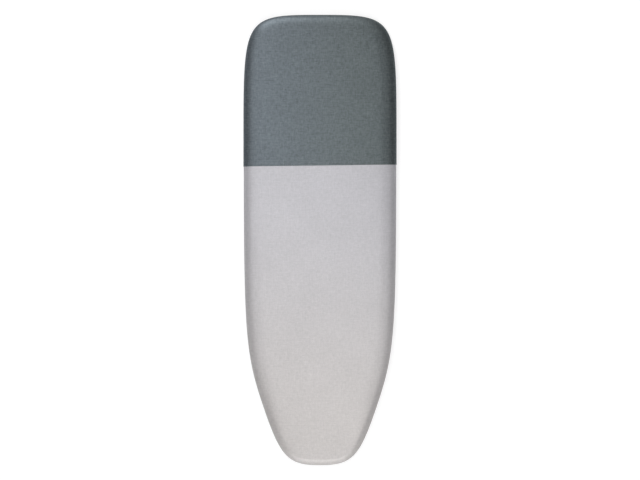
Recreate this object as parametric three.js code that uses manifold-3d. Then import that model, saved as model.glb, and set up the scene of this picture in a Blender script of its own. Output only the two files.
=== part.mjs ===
// Ironing board cover in its fitted shape, drawn tight round a board that is not part of it.
// Millimetres, +Z up: the ironing face looks up, the tail points to +Y and the nose to -Y.
import * as THREE from "three";
import { mergeVertices } from "three/addons/utils/BufferGeometryUtils.js";
import Module from "manifold-3d";

// Board that the cover is cut for
const BOARD_LENGTH = 1200;
const BOARD_WIDTH = 400;
const BOARD_THICKNESS = 22;
const BOARD_EDGE_RADIUS = 10;

// Outline of the board: three curves a side, from the nose tip to the tail
const TIP_PULL = 84; // handle of the nose curve, across the tip
const NOSE_PULL = 144; // handle of the nose curve, at the knuckle
const KNUCKLE_DEPTH = 155; // nose tip to the knuckle, where the flank turns into the nose
const KNUCKLE_HALF_WIDTH = 148;
const KNUCKLE_LEAN = 18.7; // degrees between the flank at the knuckle and the long axis
const KNUCKLE_PULL = 153; // handle of the flank curve, at the knuckle
const FLANK_PULL = 530; // handle of the flank curve, at the widest place
const TAIL_DEPTH = 322; // widest place to the tail end
const NOSE_STEPS = 7;
const FLANK_STEPS = 6;
const TAIL_STEPS = 10;

// Layers, from the board up
const FIT_GAP = 0.3; // board to felt
const LAYER_GAP = 0.3; // between two layers
const FELT_THICKNESS = 1.5;
const FELT_MARGIN = 10; // the felt stops this far short of the board's rounded edge
const FOAM_THICKNESS = 4;
const FOAM_EDGE_THICKNESS = 2; // pressed thin at the board's side, by the drawn cloth
const CLOTH_THICKNESS = 0.6;
const CROWN_WIDTH = 40; // in from the board's edge, where the pad starts to thin
const CROWN_STEPS = 8;
const EDGE_STEPS = 5;

// Seam between the two panels
const SEAM_FROM_TAIL = 405; // from the cover's tail edge, on the long axis
const SEAM_TILT = 0.7; // degrees
const SEAM_LAP = 12; // the main panel runs on under the other

// Cloth below the board
const ROLL_HEIGHT = 6; // up the board's side, where the cloth starts to turn under
const ROLL_WIDTH = 10; // in from the board's edge, where it has turned under
const ROLL_STEPS = 4;
const UNDER_CLEARANCE = 3.5; // cloth below the board's underside there
const PAD_LIFT = 2; // lower edge of the pad, above the start of the turn
const HEM_INSET = 44; // in from the board's edge to the cord

// Hem and its cord
const CORD_DIAMETER = 3;
const CORD_SIDES = 8;
const CASING_CLEARANCE = 0.5; // cord to tape
const TAPE_THICKNESS = 0.6;
const TAPE_REACH = 10; // from the cord's axis along the cloth
const TAPE_JOIN = 330; // from the board's nose tip to where two lengths of tape meet, on each side
const CASING_OPENING = 44; // between the two mouths of the casing, at the tail
const CASING_COVER = 3; // cord's tails start this far inside the mouths
const EXIT_RUN = 5; // straight run out of a mouth
const BEND_REACH = 24; // from the hem to where both tails run straight
const BEND_PULL = 13; // handles of that bend
const LOCK_LEAD = 3; // straight run before the lock
const STUB_LENGTH = 38; // from the lock to the bell
const TAIL_TUBE_STEPS = 26;

// Cord lock: a push button in a barrel that lies on its side
const CORD_CLEARANCE = 0.3; // round each cord, in the lock and in the bell
const PLUNGER_WALL = 1.3; // beside the cords' slot
const PLUNGER_WEB = 2; // between the slot and the spring's pocket
const SLIDE_CLEARANCE = 0.2; // plunger to bore
const STROKE = 3.5;
const BUTTON_SPARE = 2.5; // button left standing out when it is pressed
const POCKET_DEPTH = 4;
const BOTTOM_CLEARANCE = 0.5; // plunger to floor when it is pressed
const BARREL_WALL = 1.5;
const BARREL_FLOOR = 2.2;
const BARREL_LIP = 4.5; // slot to mouth
const SLOT_RELIEF = 0.5; // barrel's slot past the plunger's
const SLOT_RADIUS = 0.8;
const EDGE_ROUNDING = 1.2;
const FLOOR_CLEARANCE = 0.3; // lock above the surface that the cover lies on
const LOCK_HEADROOM = 0.8; // lock to board
const LOCK_SIDES = 24;
const WIRE_DIAMETER = 0.7;
const COIL_DIAMETER = 5.4;
const COIL_TURNS = 4;
const COIL_CLEARANCE = 0.3; // coil to pocket
const COIL_END_GAP = 0.15;
const STEPS_PER_TURN = 8;
const WIRE_SIDES = 5;

// Bell on the two ends of the cord
const BELL_LENGTH = 15;
const BELL_POCKET = 10;
const BELL_WALL = 1.4; // at the mouth
const BELL_FLARE = 0.7; // the closed end is this much larger in radius

const wasm = await Module();
wasm.setup();

const radians = THREE.MathUtils.degToRad;
const lerp = THREE.MathUtils.lerp;

// Heights of the layer surfaces over the board, in the middle and round the edge
const raise = (surface, by) => ({ mid: surface.mid + by, edge: surface.edge + by });
const feltUpper = FIT_GAP + FELT_THICKNESS;
const padLower = feltUpper + LAYER_GAP;
const padUpper = { mid: padLower + FOAM_THICKNESS, edge: padLower + FOAM_EDGE_THICKNESS };
const mainLower = raise(padUpper, LAYER_GAP);
const mainUpper = raise(mainLower, CLOTH_THICKNESS);
const parkingLower = raise(mainUpper, LAYER_GAP);
const parkingUpper = raise(parkingLower, CLOTH_THICKNESS);

// Sizes of the cord lock across its axis, built up from the two cords stacked in it
const cordRadius = CORD_DIAMETER / 2;
const cordPitch = CORD_DIAMETER + CORD_CLEARANCE;
const slotHalfWidth = cordRadius + CORD_CLEARANCE;
const slotHalfHeight = cordPitch / 2 + slotHalfWidth;
const plungerRadius = slotHalfHeight + PLUNGER_WALL;
const boreRadius = plungerRadius + SLIDE_CLEARANCE;
const barrelRadius = boreRadius + BARREL_WALL;

// Places along the lock's axis, with the cords at 0 and the button towards +X
const pocketFloor = -slotHalfWidth - PLUNGER_WEB;
const plungerBottom = pocketFloor - POCKET_DEPTH;
const barrelFloor = plungerBottom - STROKE - BOTTOM_CLEARANCE;
const barrelEnd = barrelFloor - BARREL_FLOOR;
const barrelMouth = slotHalfWidth + BARREL_LIP;
const buttonFace = barrelMouth + STROKE + BUTTON_SPARE;

// Heights
const lockZ = FLOOR_CLEARANCE + barrelRadius;
const boardBottom = lockZ + barrelRadius + LOCK_HEADROOM;
const boardTop = boardBottom + BOARD_THICKNESS;
const rollZ = boardBottom + ROLL_HEIGHT;
const underZ = boardBottom - UNDER_CLEARANCE;
const padEdgeZ = rollZ + PAD_LIFT;
const casingInner = cordRadius + CASING_CLEARANCE;
const casingOuter = casingInner + TAPE_THICKNESS;
const hemZ = casingOuter * Math.cos(Math.PI / CORD_SIDES);

// Places along the long axis, so that the finished cover is centred on the origin
const boardY = (mainUpper.edge - parkingUpper.edge) / 2;
const tailEdgeY = boardY + BOARD_LENGTH / 2 + parkingUpper.edge;
const hemY = boardY + BOARD_LENGTH / 2 - HEM_INSET;
const joinY = boardY - BOARD_LENGTH / 2 + TAPE_JOIN;
const straightY = hemY - BEND_REACH;
const lockY = straightY - LOCK_LEAD - barrelRadius;
const bellY = lockY - barrelRadius - STUB_LENGTH;
const bellFloorY = bellY - BELL_POCKET;

function toSolid(geometry) {
  const bare = geometry.index ? geometry.toNonIndexed() : geometry;
  const points = new THREE.BufferGeometry().setAttribute("position", bare.getAttribute("position"));
  const merged = mergeVertices(points, 1e-4);
  const vertProperties = merged.attributes.position.array;
  const triVerts = new Uint32Array(merged.index.array);
  return new wasm.Manifold(new wasm.Mesh({ numProp: 3, vertProperties, triVerts }));
}

function toGeometry(solid) {
  const mesh = solid.getMesh();
  const geometry = new THREE.BufferGeometry();
  geometry.setAttribute("position", new THREE.BufferAttribute(mesh.vertProperties, 3));
  geometry.setIndex(new THREE.BufferAttribute(mesh.triVerts, 1));
  return geometry;
}

// Points of the board's outline with their outward directions, counterclockwise from the nose tip
function boardOutline() {
  const halfWidth = BOARD_WIDTH / 2;
  const tailY = boardY + BOARD_LENGTH / 2;
  const noseY = boardY - BOARD_LENGTH / 2;
  const lean = new THREE.Vector2(Math.sin(radians(KNUCKLE_LEAN)), Math.cos(radians(KNUCKLE_LEAN)));
  const tip = new THREE.Vector2(0, noseY);
  const knuckle = new THREE.Vector2(KNUCKLE_HALF_WIDTH, noseY + KNUCKLE_DEPTH);
  const widest = new THREE.Vector2(halfWidth, tailY - TAIL_DEPTH);
  const corner = new THREE.Vector2(halfWidth, tailY);
  const nose = new THREE.CubicBezierCurve(
    tip,
    new THREE.Vector2(TIP_PULL, noseY),
    knuckle.clone().addScaledVector(lean, -NOSE_PULL),
    knuckle,
  );
  const flank = new THREE.CubicBezierCurve(
    knuckle,
    knuckle.clone().addScaledVector(lean, KNUCKLE_PULL),
    new THREE.Vector2(halfWidth, widest.y - FLANK_PULL),
    widest,
  );
  const tail = new THREE.CubicBezierCurve(widest, corner, corner, new THREE.Vector2(0, tailY));
  const side = [];
  for (const [curve, steps] of [[nose, NOSE_STEPS], [flank, FLANK_STEPS], [tail, TAIL_STEPS]]) {
    for (let i = 0; i < steps; i++) {
      const point = curve.getPoint(i / steps);
      const along = curve.getTangent(i / steps);
      side.push({ x: point.x, y: point.y, nx: along.y, ny: -along.x });
    }
  }
  const mirrored = side.slice(1).reverse().map((p) => ({ ...p, x: -p.x, nx: -p.nx }));
  return [...side, { x: 0, y: tailY, nx: 0, ny: 1 }, ...mirrored];
}

const outline = boardOutline();

// One ring of points at an offset out from the board's outline
function ring([out, z]) {
  return outline.map((p) => new THREE.Vector3(p.x + out * p.nx, p.y + out * p.ny, z));
}

// Body skinned over the rings of a profile; it is closed by flat ends, or by joining last to first
function loft(profile, endless) {
  const rings = profile.map(ring);
  const count = outline.length;
  const index = [];
  const at = (k, j) => (k % rings.length) * count + (j % count);
  const spans = endless ? rings.length : rings.length - 1;
  for (let k = 0; k < spans; k++) {
    for (let j = 0; j < count; j++) {
      index.push(at(k, j), at(k + 1, j), at(k + 1, j + 1));
      index.push(at(k, j), at(k + 1, j + 1), at(k, j + 1));
    }
  }
  if (!endless) {
    const last = rings.length - 1;
    const flat = (points) => points.map((p) => new THREE.Vector2(p.x, p.y));
    for (const [a, b, c] of THREE.ShapeUtils.triangulateShape(flat(rings[0]), [])) {
      index.push(at(0, a), at(0, b), at(0, c));
    }
    for (const [a, b, c] of THREE.ShapeUtils.triangulateShape(flat(rings[last]), [])) {
      index.push(at(last, a), at(last, c), at(last, b));
    }
  }
  const geometry = new THREE.BufferGeometry();
  geometry.setAttribute("position", new THREE.Float32BufferAttribute(rings.flat().flatMap((p) => p.toArray()), 3));
  geometry.setIndex(index);
  return geometry;
}

// Profile round the board's rounded edge at a distance from it, as offsets and heights
function roundEdge(distance) {
  const reach = BOARD_EDGE_RADIUS + distance;
  const points = [];
  for (let i = 0; i <= EDGE_STEPS; i++) {
    const angle = (Math.PI / 2) * (1 - i / EDGE_STEPS);
    points.push([-BOARD_EDGE_RADIUS + reach * Math.cos(angle), boardTop - BOARD_EDGE_RADIUS + reach * Math.sin(angle)]);
  }
  return points;
}

// Profile of a layer surface from its flat middle to the board's side, a quarter of an ellipse
function overEdge(surface) {
  const sideZ = boardTop - BOARD_EDGE_RADIUS;
  const points = [];
  for (let i = 0; i <= CROWN_STEPS; i++) {
    const angle = (Math.PI / 2) * (1 - i / CROWN_STEPS);
    points.push([
      -CROWN_WIDTH + (CROWN_WIDTH + surface.edge) * Math.cos(angle),
      sideZ + (boardTop + surface.mid - sideZ) * Math.sin(angle),
    ]);
  }
  return points;
}

// Point in the hem's own directions: along the cloth from the cord's axis, and up from between the cloths
const hemSlope = Math.atan2(underZ - LAYER_GAP / 2 - hemZ, HEM_INSET - ROLL_WIDTH);
function hemPoint(along, up) {
  return [
    -HEM_INSET + along * Math.cos(hemSlope) - up * Math.sin(hemSlope),
    hemZ + along * Math.sin(hemSlope) + up * Math.cos(hemSlope),
  ];
}

// Profile of a cloth surface from the board's side, round under it and down to the hem
function underEdge(surface) {
  const inside = mainUpper.edge - surface.edge;
  const points = [];
  for (let i = 0; i <= ROLL_STEPS; i++) {
    const angle = (Math.PI / 2) * (i / ROLL_STEPS);
    points.push([
      -ROLL_WIDTH + (ROLL_WIDTH + surface.edge) * Math.cos(angle),
      rollZ - (rollZ - underZ - inside) * Math.sin(angle),
    ]);
  }
  points.push(hemPoint(casingInner + LAYER_GAP, inside + LAYER_GAP / 2));
  return points;
}

function clothShell(lower, upper) {
  const outside = [...overEdge(upper), ...underEdge(upper)];
  const inside = [...overEdge(lower), ...underEdge(lower)];
  return toSolid(loft([...outside, ...inside.reverse()], false));
}

// Flat felt on the board's top
function feltSlab() {
  const edge = -BOARD_EDGE_RADIUS - FELT_MARGIN;
  return loft([[edge, boardTop + feltUpper], [edge, boardTop + FIT_GAP]], false);
}

// Pad that lies on the felt and turns down over the board's edge
function padShell(upper) {
  const step = -BOARD_EDGE_RADIUS - FELT_MARGIN + LAYER_GAP;
  const outside = [...overEdge(upper), [upper.edge, padEdgeZ]];
  const inside = [
    [step, boardTop + padLower],
    [step, boardTop + FIT_GAP],
    ...roundEdge(FIT_GAP),
    [FIT_GAP, padEdgeZ],
  ];
  return toSolid(loft([...outside, ...inside.reverse()], false));
}

// Cuts along the seam, moved towards the tail by a shift
const seamLine = (tailEdgeY - SEAM_FROM_TAIL) * Math.cos(radians(SEAM_TILT));
const tailward = [-Math.sin(radians(SEAM_TILT)), Math.cos(radians(SEAM_TILT)), 0];
const noseward = tailward.map((v) => -v);
const keepTail = (solid, shift) => solid.trimByPlane(tailward, seamLine + shift);
const keepNose = (solid, shift) => solid.trimByPlane(noseward, -seamLine - shift);

// Folded tape: a teardrop casing round the cord whose two layers hold the cloths' edges
function bindingProfile() {
  const gap = CLOTH_THICKNESS + LAYER_GAP * 1.5;
  const facets = [];
  for (let i = 1.5; i < CORD_SIDES - 1; i++) {
    facets.push((i * 2 * Math.PI) / CORD_SIDES - hemSlope);
  }
  const arc = (radius) => facets.map((a) => hemPoint(radius * Math.cos(a), radius * Math.sin(a)));
  return [
    hemPoint(TAPE_REACH, gap + TAPE_THICKNESS),
    hemPoint(TAPE_REACH, gap),
    ...arc(casingInner),
    hemPoint(TAPE_REACH, -gap),
    hemPoint(TAPE_REACH, -gap - TAPE_THICKNESS),
    ...arc(casingOuter).reverse(),
  ];
}

function cordProfile() {
  const points = [];
  for (let i = 0.5; i < CORD_SIDES; i++) {
    const a = (-i * 2 * Math.PI) / CORD_SIDES;
    points.push([-HEM_INSET + cordRadius * Math.cos(a), hemZ + cordRadius * Math.sin(a)]);
  }
  return points;
}

// Ring round the hem, cut open at the tail
function openRing(profile, opening) {
  const gap = new THREE.BoxGeometry(opening, 2 * HEM_INSET, 2 * boardBottom).translate(0, hemY, 0);
  return toSolid(loft(profile, true)).subtract(toSolid(gap));
}

// Section of a cord or a wire
function roundSection(radius, sides) {
  const points = [];
  for (let i = 0; i < sides; i++) {
    const angle = (i * 2 * Math.PI) / sides;
    points.push(new THREE.Vector2(radius * Math.cos(angle), radius * Math.sin(angle)));
  }
  return new THREE.Shape(points);
}

// One tail of the cord: out of the casing, round the bend, through the lock and into the bell
function cordTail(side, level) {
  const mouth = side * (CASING_OPENING / 2 + CASING_COVER - LAYER_GAP);
  const bendStart = side * (CASING_OPENING / 2 - EXIT_RUN);
  const z = lockZ + level * (cordPitch / 2);
  const start = new THREE.Vector3(bendStart, hemY, hemZ);
  const end = new THREE.Vector3(0, straightY, z);
  const path = new THREE.CurvePath();
  path.add(new THREE.LineCurve3(new THREE.Vector3(mouth, hemY, hemZ), start));
  path.add(
    new THREE.CubicBezierCurve3(
      start,
      new THREE.Vector3(bendStart - side * BEND_PULL, hemY, hemZ),
      new THREE.Vector3(0, straightY + BEND_PULL, z),
      end,
    ),
  );
  path.add(new THREE.LineCurve3(end, new THREE.Vector3(0, bellFloorY + CORD_CLEARANCE, z)));
  return new THREE.ExtrudeGeometry(roundSection(cordRadius, CORD_SIDES), {
    steps: TAIL_TUBE_STEPS,
    extrudePath: path,
  });
}

// Round body about the X axis from radii and places along it
function turned(profile, sides) {
  const points = profile.map(([radius, along]) => new THREE.Vector2(radius, along));
  return new THREE.LatheGeometry(points, sides).rotateZ(-Math.PI / 2);
}

// Cutter for the cords' slot, which runs along Y
function slotCutter(fromX, toX, fromY, toY) {
  const r = SLOT_RADIUS;
  const h = slotHalfHeight;
  const shape = new THREE.Shape();
  shape.absarc(toX - r, h - r, r, 0, Math.PI / 2);
  shape.absarc(fromX + r, h - r, r, Math.PI / 2, Math.PI);
  shape.absarc(fromX + r, -h + r, r, Math.PI, 1.5 * Math.PI);
  shape.absarc(toX - r, -h + r, r, 1.5 * Math.PI, 2 * Math.PI);
  const block = new THREE.ExtrudeGeometry(shape, { depth: toY - fromY, bevelEnabled: false, curveSegments: 3 });
  return toSolid(block.rotateX(Math.PI / 2).translate(0, toY, 0));
}

function lockBarrel() {
  const cup = turned(
    [
      [0, barrelEnd],
      [barrelRadius - EDGE_ROUNDING, barrelEnd],
      [barrelRadius, barrelEnd + EDGE_ROUNDING],
      [barrelRadius, barrelMouth - EDGE_ROUNDING / 2],
      [barrelRadius - EDGE_ROUNDING / 2, barrelMouth],
      [boreRadius, barrelMouth],
      [boreRadius, barrelFloor],
      [0, barrelFloor],
    ],
    LOCK_SIDES,
  );
  const cutter = slotCutter(-slotHalfWidth - SLOT_RELIEF, slotHalfWidth, -2 * barrelRadius, 2 * barrelRadius);
  return toGeometry(toSolid(cup).subtract(cutter));
}

function lockPlunger() {
  const pocketRadius = (COIL_DIAMETER + WIRE_DIAMETER) / 2 + COIL_CLEARANCE;
  const button = turned(
    [
      [0, pocketFloor],
      [pocketRadius, pocketFloor],
      [pocketRadius, plungerBottom],
      [plungerRadius, plungerBottom],
      [plungerRadius, buttonFace - EDGE_ROUNDING],
      [plungerRadius - EDGE_ROUNDING / 3, buttonFace - EDGE_ROUNDING / 3],
      [plungerRadius - EDGE_ROUNDING, buttonFace],
      [0, buttonFace],
    ],
    LOCK_SIDES,
  );
  const cutter = slotCutter(-slotHalfWidth, slotHalfWidth + STROKE, -2 * barrelRadius, 2 * barrelRadius);
  return toGeometry(toSolid(button).subtract(cutter));
}

class Coil extends THREE.Curve {
  getPoint(t, target = new THREE.Vector3()) {
    const angle = 2 * Math.PI * COIL_TURNS * t;
    const inset = COIL_END_GAP + WIRE_DIAMETER / 2;
    const along = lerp(barrelFloor + inset, pocketFloor - inset, t);
    return target.set(along, (COIL_DIAMETER / 2) * Math.cos(angle), (COIL_DIAMETER / 2) * Math.sin(angle));
  }
}

// Least clear distance between one turn of a coil and the next
function leastSelfGap(curve, turns, thickness) {
  const points = curve.getSpacedPoints(turns * 48);
  let least = Infinity;
  for (let i = 0; i < points.length; i++) {
    for (let j = i + 24; j < points.length; j++) {
      least = Math.min(least, points[i].distanceTo(points[j]) - thickness);
    }
  }
  return least;
}

function lockSpring() {
  const coil = new Coil();
  console.log(`lock_spring: least gap to itself ${leastSelfGap(coil, COIL_TURNS, WIRE_DIAMETER).toFixed(2)} mm`);
  return new THREE.ExtrudeGeometry(roundSection(WIRE_DIAMETER / 2, WIRE_SIDES), {
    steps: COIL_TURNS * STEPS_PER_TURN,
    extrudePath: coil,
  });
}

// Bell with its mouth at y = 0 and its closed end towards -Y
function endBell() {
  const mouthRadius = Math.hypot(slotHalfWidth, slotHalfHeight) + BELL_WALL;
  const endRadius = mouthRadius + BELL_FLARE;
  const profile = [
    [0, -BELL_LENGTH],
    [endRadius - EDGE_ROUNDING, -BELL_LENGTH],
    [endRadius, -BELL_LENGTH + EDGE_ROUNDING],
    [mouthRadius, -EDGE_ROUNDING],
    [mouthRadius - EDGE_ROUNDING / 2, 0],
    [0, 0],
  ];
  const body = new THREE.LatheGeometry(profile.map(([radius, along]) => new THREE.Vector2(radius, along)), LOCK_SIDES);
  return toGeometry(toSolid(body).subtract(slotCutter(-slotHalfWidth, slotHalfWidth, -BELL_POCKET, BELL_LENGTH)));
}

const metallised = new THREE.MeshStandardMaterial({ color: 0xc6c4c8, roughness: 0.45, metalness: 0.5 });
const darkCloth = new THREE.MeshStandardMaterial({ color: 0x6c7478, roughness: 0.6, metalness: 0.2 });
const foam = new THREE.MeshStandardMaterial({ color: 0xd8d3c2, roughness: 1 });
const greyFelt = new THREE.MeshStandardMaterial({ color: 0x8b8b88, roughness: 1 });
const paleFelt = new THREE.MeshStandardMaterial({ color: 0xe4e0d8, roughness: 1 });
const tape = new THREE.MeshStandardMaterial({ color: 0x5e6468, roughness: 0.9 });
const elastic = new THREE.MeshStandardMaterial({ color: 0xe9e9e6, roughness: 0.9 });
const blackPlastic = new THREE.MeshStandardMaterial({ color: 0x1d1e20, roughness: 0.5 });
const springSteel = new THREE.MeshStandardMaterial({ color: 0xa9adb1, roughness: 0.35, metalness: 1 });

const cover = new THREE.Group();
cover.name = "ironing_board_cover";

function add(parent, name, geometry, material) {
  const mesh = new THREE.Mesh(geometry, material);
  mesh.name = name;
  parent.add(mesh);
  return mesh;
}

add(cover, "main_panel", toGeometry(keepNose(clothShell(mainLower, mainUpper), SEAM_LAP)), metallised);
add(cover, "parking_panel", toGeometry(keepTail(clothShell(parkingLower, parkingUpper), 0)), darkCloth);
add(cover, "foam_pad", toGeometry(keepNose(padShell(padUpper), SEAM_LAP)), foam);
add(cover, "heat_felt", toGeometry(keepTail(padShell(mainUpper), SEAM_LAP + LAYER_GAP)), greyFelt);
add(cover, "felt_underlay", feltSlab(), paleFelt);
for (const [side, sign] of [["left", -1], ["right", 1]]) {
  const half = openRing(bindingProfile(), CASING_OPENING).trimByPlane([sign, 0, 0], LAYER_GAP / 2);
  const rear = half.trimByPlane([0, 1, 0], joinY + LAYER_GAP / 2);
  const nose = half.trimByPlane([0, -1, 0], -joinY + LAYER_GAP / 2);
  add(cover, `edge_binding_${side}`, toGeometry(rear), tape);
  add(cover, `edge_binding_nose_${side}`, toGeometry(nose), tape);
}
add(cover, "drawcord", toGeometry(openRing(cordProfile(), CASING_OPENING + 2 * CASING_COVER)), elastic);
add(cover, "drawcord_tail_left", cordTail(-1, 1), elastic);
add(cover, "drawcord_tail_right", cordTail(1, -1), elastic);

const bell = add(cover, "cord_end_bell", endBell(), blackPlastic);
bell.position.set(0, bellY, lockZ);

const lock = new THREE.Group();
lock.name = "cord_lock";
lock.position.set(0, lockY, lockZ);
cover.add(lock);
add(lock, "lock_barrel", lockBarrel(), blackPlastic);
add(lock, "lock_plunger", lockPlunger(), blackPlastic);
add(lock, "lock_spring", lockSpring(), springSteel);

export default cover;
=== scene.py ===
import math

import bmesh
import bpy
import numpy as np
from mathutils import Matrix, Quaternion, Vector
from mathutils.geometry import delaunay_2d_cdt


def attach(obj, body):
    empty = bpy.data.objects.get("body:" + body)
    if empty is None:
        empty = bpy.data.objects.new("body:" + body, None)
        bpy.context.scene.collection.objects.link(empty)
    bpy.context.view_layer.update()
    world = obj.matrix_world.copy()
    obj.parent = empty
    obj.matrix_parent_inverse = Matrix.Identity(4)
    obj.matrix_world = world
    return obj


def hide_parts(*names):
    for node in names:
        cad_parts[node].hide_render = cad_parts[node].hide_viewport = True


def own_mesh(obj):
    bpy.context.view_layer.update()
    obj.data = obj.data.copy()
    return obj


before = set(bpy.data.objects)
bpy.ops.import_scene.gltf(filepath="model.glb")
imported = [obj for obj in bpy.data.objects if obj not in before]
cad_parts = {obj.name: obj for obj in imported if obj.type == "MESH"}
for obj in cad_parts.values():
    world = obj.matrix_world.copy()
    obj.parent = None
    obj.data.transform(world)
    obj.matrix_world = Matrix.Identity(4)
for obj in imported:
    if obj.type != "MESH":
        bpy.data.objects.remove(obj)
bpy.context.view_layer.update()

# Units: metres in a millimetre, and millimetres in a metre
METRES = 0.001
MILLIMETRES = 1000

# Sizes in millimetres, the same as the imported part's
BOARD_LENGTH = 1200
BOARD_WIDTH = 400
BOARD_THICKNESS = 22
BOARD_EDGE_RADIUS = 10
TIP_PULL = 84
NOSE_PULL = 144
KNUCKLE_DEPTH = 155
KNUCKLE_HALF_WIDTH = 148
KNUCKLE_LEAN = math.radians(18.7)
KNUCKLE_PULL = 153
FLANK_PULL = 530
TAIL_DEPTH = 322
FIT_GAP = 0.3
FELT_THICKNESS = 1.5
FELT_MARGIN = 10
FOAM_THICKNESS = 4
FOAM_EDGE_THICKNESS = 2
LAYER_GAP = 0.3
CLOTH_THICKNESS = 0.6
CROWN_WIDTH = 40
SEAM_FROM_TAIL = 405
SEAM_TILT = math.radians(0.7)
SEAM_LAP = 12
ROLL_HEIGHT = 6
ROLL_WIDTH = 10
UNDER_CLEARANCE = 3.5
PAD_LIFT = 2
HEM_INSET = 44
CORD_RADIUS = 1.5
CASING_INNER = 2.0
TAPE_THICKNESS = 0.6
TAPE_REACH = 10
CASING_OPENING = 44
CASING_COVER = 3
EXIT_RUN = 5
BEND_REACH = 24
BEND_PULL = 13
LOCK_LEAD = 3
STUB_LENGTH = 38
BELL_LENGTH = 15
BELL_POCKET = 10
BELL_WALL = 1.4
BELL_FLARE = 0.7
PLUNGER_RADIUS = 4.75
BORE_RADIUS = 4.95
BARREL_RADIUS = 6.45
SLOT_HALF_WIDTH = 1.8
SLOT_HALF_HEIGHT = 3.45
CORD_PITCH = 3.3
POCKET_FLOOR = -3.8
POCKET_RADIUS = 3.35
PLUNGER_BOTTOM = -7.8
BARREL_FLOOR = -11.8
BARREL_END = -14.0
BARREL_MOUTH = 6.3
BUTTON_FACE = 12.3
STROKE = 3.5
SLOT_RELIEF = 0.5
SLOT_CORNER = 0.8
SLOT_RUN = (-10, 10)
COIL_RADIUS = 2.7
COIL_TURNS = 4
COIL_GAP = 0.15
WIRE_RADIUS = 0.35
LOCK_Z = 6.75

# Heights and places that follow from them
BOARD_BOTTOM = LOCK_Z + BARREL_RADIUS + 0.8
BOARD_TOP = BOARD_BOTTOM + BOARD_THICKNESS
SIDE_Z = BOARD_TOP - BOARD_EDGE_RADIUS
ROLL_Z = BOARD_BOTTOM + ROLL_HEIGHT
UNDER_Z = BOARD_BOTTOM - UNDER_CLEARANCE
CASING_OUTER = CASING_INNER + TAPE_THICKNESS
HEM_Z = CASING_OUTER * math.cos(math.pi / 8)
PAD_LOWER = FIT_GAP + FELT_THICKNESS + LAYER_GAP
PAD_UPPER = np.array([PAD_LOWER + FOAM_THICKNESS, PAD_LOWER + FOAM_EDGE_THICKNESS])
MAIN_UPPER = PAD_UPPER + LAYER_GAP + CLOTH_THICKNESS
LAYER_STEP = LAYER_GAP + CLOTH_THICKNESS
BOARD_Y = -LAYER_STEP / 2
TAIL_EDGE_Y = BOARD_Y + BOARD_LENGTH / 2 + MAIN_UPPER[1] + LAYER_STEP
HEM_Y = BOARD_Y + BOARD_LENGTH / 2 - HEM_INSET
STRAIGHT_Y = HEM_Y - BEND_REACH
LOCK_Y = STRAIGHT_Y - LOCK_LEAD - BARREL_RADIUS
BELL_Y = LOCK_Y - BARREL_RADIUS - STUB_LENGTH
SEAM_LINE = (TAIL_EDGE_Y - SEAM_FROM_TAIL) * math.cos(SEAM_TILT)
TAILWARD = np.array([-math.sin(SEAM_TILT), math.cos(SEAM_TILT), 0.0])
HEM_SLOPE = math.atan2(UNDER_Z - LAYER_GAP / 2 - HEM_Z, HEM_INSET - ROLL_WIDTH)

# Fineness of the meshes
OUTLINE_STEPS = 1500
LOOP_POINTS = 1080
CAP_GRID = 10.0
CAP_HALF_WIDTH = 300
CAP_HALF_LENGTH = 700
CROWN_RINGS = 18
PAD_RINGS = 14
SIDE_RINGS = 3
ROLL_RINGS = 8
FLANGE_RINGS = 14
TURNED_SIDES = 96
CORNER_STEPS = 10
THREAD_SIDES = 6
CORD_SIDES = 12
HEM_STEPS = 640
HEM_CORD_STEPS = 900
CUT_TOLERANCE = 1e-7
MERGE_DISTANCE = 2e-5

# Cloth as it is sewn; the fold at the seam goes through places ahead of its edge and out of the cloth
SEWN_CLOTH = 0.35
FOLD_RAISE = 0.1
FOLD_WIDTH = 10.0
FOLD_TURN = ((0.24, -0.06), (0.40, -0.22), (0.44, -0.42), (0.38, -0.62), (0.20, -0.78))
FOLD_PROFILE = (*FOLD_TURN, (-1.5, -0.82), (-9.0, -0.82))
MAIN_CUTS = (0, -2, -5, -9)
PARKING_CUTS = (2, 4, 7, 10, 13, 17)

# Sewing: a row of stitches has the length of a stitch, the gap to the next and the thread's radius
SEAM_ROWS = (2, 7)
SEAM_STITCH = (2.8, 0.8, 0.2)
HEM_STITCH_REACH = 7.6
HEM_STITCH = (3.2, 0.9, 0.22)
STITCH_SHAPE = np.array([0.0, 0.12, 0.35, 0.65, 0.88, 1.0])
STITCH_HEIGHT = np.array([-0.9, 0.35, 0.75, 0.75, 0.35, -0.9])
TACK_REACH = (3.6, 9.4)
TACK_STEP = 0.35
TACK_SWING = 0.9
TACK_INSET = 1.6
TACK_DROP = 0.1
TAPE_GAP = CLOTH_THICKNESS + 1.2 * LAYER_GAP

# Cover of the cord, as shares of the cord's radius
BRAID_STRANDS = 6
BRAID_PITCH = 8.0
BRAID_CORE = 0.67
BRAID_MIDDLE = 0.80
BRAID_WEAVE = 0.08
STRAND_HALF_THICKNESS = 0.11
STRAND_HALF_WIDTH = 0.285

# Gathers that the cord draws into the cloth below the board
GATHER_COUNT = 150
GATHER_FLAT = 0.9
GATHER_CORNER = 2.6
GATHER_HEM_SHARE = 0.3
CORNER_GAIN = 130
CORNER_REACH = 0.008
MOUTH_CALM = (45, 110)
GATHER_START = (2, -24)
HEM_HOLD = (-27, -36)

# Softness of the pad: drawn down along its shoulder, and swelling from there to the middle
PAD_GIVE = 0.7
SHOULDER = (4, 30)
PAD_SWELL = 1.6
SWELL_START = 20
SWELL_REACH = 22
NOSE_FULLNESS = 1.3
NOSE_SHOULDER = (-1, 10, 42)
NOSE_FADE = (80, 200)


def smoothstep(low, high, value):
    t = np.clip((value - low) / (high - low), 0, 1)
    return t * t * (3 - 2 * t)


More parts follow.
